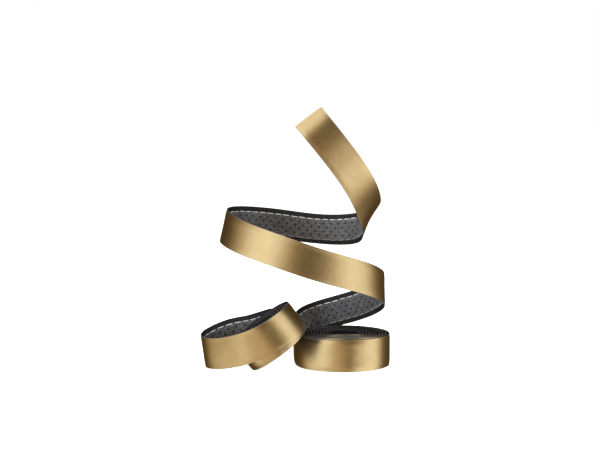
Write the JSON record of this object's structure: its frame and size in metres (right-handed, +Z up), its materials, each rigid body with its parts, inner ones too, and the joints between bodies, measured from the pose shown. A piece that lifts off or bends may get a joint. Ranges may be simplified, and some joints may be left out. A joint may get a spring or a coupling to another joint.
{
  "type": "handlebar tape set",
  "caption": "Padded bicycle handlebar tape: one coil drawn up into a loose helix, and a half-opened coil leaning on it.",
  "frame": {"origin": "on the floor, under the middle of the set's box", "axes": "+Z up, +X towards the upright coil's side, +Y away from the side where the raised tape's gold face crosses in front"},
  "size_m": [0.1804, 0.13, 0.2462],
  "materials": {
    "gold_skin": "satin",
    "foam": "matte",
    "perforated_lining": "matte",
    "thread": "matte"
  },
  "bodies": {
    "first_coil": {"first_coil_skin": "gold_skin", "first_coil_foam_core": "foam", "first_coil_lining": "perforated_lining", "first_coil_upper_stitches": "thread", "first_coil_lower_stitches": "thread"},
    "lower_turn": {"lower_turn_skin": "gold_skin", "lower_turn_foam_core": "foam", "lower_turn_lining": "perforated_lining", "lower_turn_upper_stitches": "thread", "lower_turn_lower_stitches": "thread"},
    "middle_turn": {"middle_turn_skin": "gold_skin", "middle_turn_foam_core": "foam", "middle_turn_lining": "perforated_lining", "middle_turn_upper_stitches": "thread", "middle_turn_lower_stitches": "thread"},
    "upper_turn": {"upper_turn_skin": "gold_skin", "upper_turn_foam_core": "foam", "upper_turn_lining": "perforated_lining", "upper_turn_upper_stitches": "thread", "upper_turn_lower_stitches": "thread"},
    "tail": {"tail_skin": "gold_skin", "tail_foam_core": "foam", "tail_lining": "perforated_lining", "tail_upper_stitches": "thread", "tail_lower_stitches": "thread"},
    "second_roll": {"second_coil_skin": "gold_skin", "second_coil_foam_core": "foam", "second_coil_lining": "perforated_lining", "second_coil_upper_stitches": "thread", "second_coil_lower_stitches": "thread"},
    "second_loop": {"second_loop_skin": "gold_skin", "second_loop_foam_core": "foam", "second_loop_lining": "perforated_lining", "second_loop_upper_stitches": "thread", "second_loop_lower_stitches": "thread"}
  },
  "joints": [
    {"name": "lower_flex", "type": "hinge", "parent": "first_coil", "child": "lower_turn", "pos_m": [0.00042, 0.03242, 0.0262], "axis": [-0.1626, -0.9437, -0.2879], "range_deg": [-1.5, 3], "stiffness_Nm_per_rad": 1.5},
    {"name": "middle_flex", "type": "hinge", "parent": "lower_turn", "child": "middle_turn", "pos_m": [0.08382, 0.00542, 0.0718], "axis": [0.087, 0.9126, -0.3996], "range_deg": [-3, 6], "stiffness_Nm_per_rad": 1},
    {"name": "upper_flex", "type": "hinge", "parent": "middle_turn", "child": "upper_turn", "pos_m": [-0.06748, 0.00542, 0.133], "axis": [0.0223, -0.9926, -0.1191], "range_deg": [-3, 6], "stiffness_Nm_per_rad": 1},
    {"name": "tail_flex", "type": "hinge", "parent": "upper_turn", "child": "tail", "pos_m": [0.07052, 0.00842, 0.141], "axis": [-0.0454, 0.8309, -0.5545], "range_deg": [-8, 8], "stiffness_Nm_per_rad": 0.5},
    {"name": "second_roll_slide", "type": "slide", "parent": "first_coil", "child": "second_roll", "axis": [-1, 0, 0], "range_m": [0, 0.12]},
    {"name": "second_loop_flex", "type": "hinge", "parent": "second_roll", "child": "second_loop", "pos_m": [-0.05998, -0.04608, 0.0203], "axis": [0.7239, -0.6436, 0.2486], "range_deg": [0, 8]}
  ],
  "couplings": [
    {"joint": "middle_flex", "follows": "lower_flex", "ratio": 2},
    {"joint": "upper_flex", "follows": "lower_flex", "ratio": 2}
  ]
}
